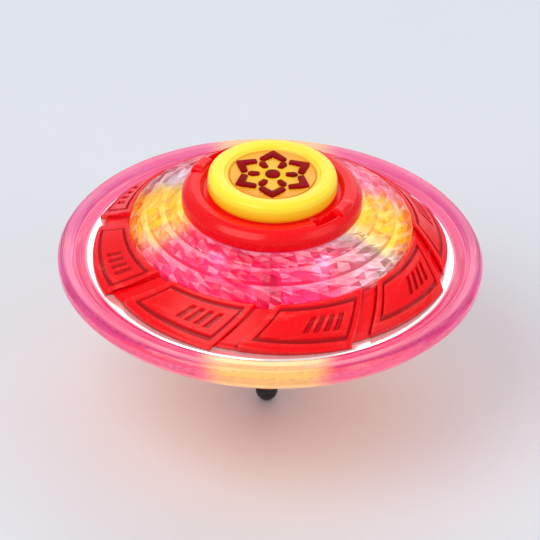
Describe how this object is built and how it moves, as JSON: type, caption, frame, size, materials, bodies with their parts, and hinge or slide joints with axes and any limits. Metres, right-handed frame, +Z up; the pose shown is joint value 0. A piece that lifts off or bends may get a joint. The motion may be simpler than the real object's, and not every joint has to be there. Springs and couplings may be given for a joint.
{
  "type": "light up spinning top",
  "caption": "Battle spinning top with a lit, clear faceted dome, a bladed ring over a steel weight ring, a glowing rim and cone, a free-turning cap and a ball tip on a bearing.",
  "frame": {"origin": "the foot of the tip, on the spin axis, where the top touches the floor when it stands upright", "axes": "+Z up along the spin axis, -Y towards the front, the wings of the core frame along X"},
  "size_m": [0.0724, 0.0724, 0.0468],
  "materials": {
    "red_shell": "glossy moulded red",
    "yellow_cap": "glossy moulded yellow",
    "yellow_core": "glossy moulded yellow",
    "clear_pink": "clear, pink tinted, faceted like crystal",
    "glow_pink": "translucent pink light guide",
    "glow_peach": "translucent peach, lit from inside",
    "glow_orange": "translucent orange, lit from inside",
    "ring_steel": "polished steel",
    "mirror_plate": "metallised plastic",
    "screw_steel": "zinc plated",
    "bronze": "sintered bronze",
    "brass": "plain",
    "black_tip": "hard black",
    "black_part": "black",
    "white_washer": "natural low-friction plastic",
    "board_green": "glass-fibre board with green mask",
    "lamp_red": "red lamp lens",
    "emblem_red": "dark red",
    "emblem_amber": "amber"
  },
  "bodies": {
    "top_body": {"lock_collar": "red_shell", "collar_screws": "screw_steel", "cap_screw": "screw_steel", "cap_washer": "white_washer", "clear_dome": "clear_pink", "core_frame": "yellow_core", "reflector": "mirror_plate", "attack_ring": "red_shell", "weight_ring": "ring_steel", "light_ring": "glow_pink", "lower_housing": "glow_peach", "housing_screws": "screw_steel", "driver_nose": "glow_orange", "nose_screws": "screw_steel", "tip_bush": "bronze", "circuit_board": "board_green", "board_screws": "screw_steel", "led_lamps": "lamp_red", "led_legs": "screw_steel", "resistors": "black_part", "timer_chip": "black_part", "positive_contact": "brass", "negative_contact": "brass", "battery_spring": "screw_steel", "button_cells": "screw_steel", "switch_frames": "black_part", "switch_covers": "black_part", "switch_contacts": "brass", "switch_spring_a": "screw_steel", "switch_spring_b": "screw_steel"},
    "cap": {"cap_shell": "yellow_cap", "emblem_backing": "emblem_red", "emblem_plate": "emblem_amber"},
    "tip": {"tip_point": "black_tip", "tip_axle": "screw_steel", "tip_washer": "white_washer", "tip_clip": "screw_steel"},
    "switch_weight_a": {"spin_weight_a": "brass"},
    "switch_weight_b": {"spin_weight_b": "brass"}
  },
  "joints": [
    {"name": "cap_spin", "type": "hinge", "parent": "top_body", "child": "cap", "pos_m": [0, 0, 0.044], "axis": [0, 0, 1], "continuous": true},
    {"name": "tip_spin", "type": "hinge", "parent": "top_body", "child": "tip", "pos_m": [0, 0, 0.009], "axis": [0, 0, 1], "continuous": true},
    {"name": "switch_weight_a_slide", "type": "slide", "parent": "top_body", "child": "switch_weight_a", "axis": [1, 0, 0], "range_m": [0, 0.0012], "stiffness_N_per_m": 8, "deforming": ["switch_spring_a"]},
    {"name": "switch_weight_b_slide", "type": "slide", "parent": "top_body", "child": "switch_weight_b", "axis": [-1, 0, 0], "range_m": [0, 0.0012], "stiffness_N_per_m": 8, "deforming": ["switch_spring_b"]}
  ]
}
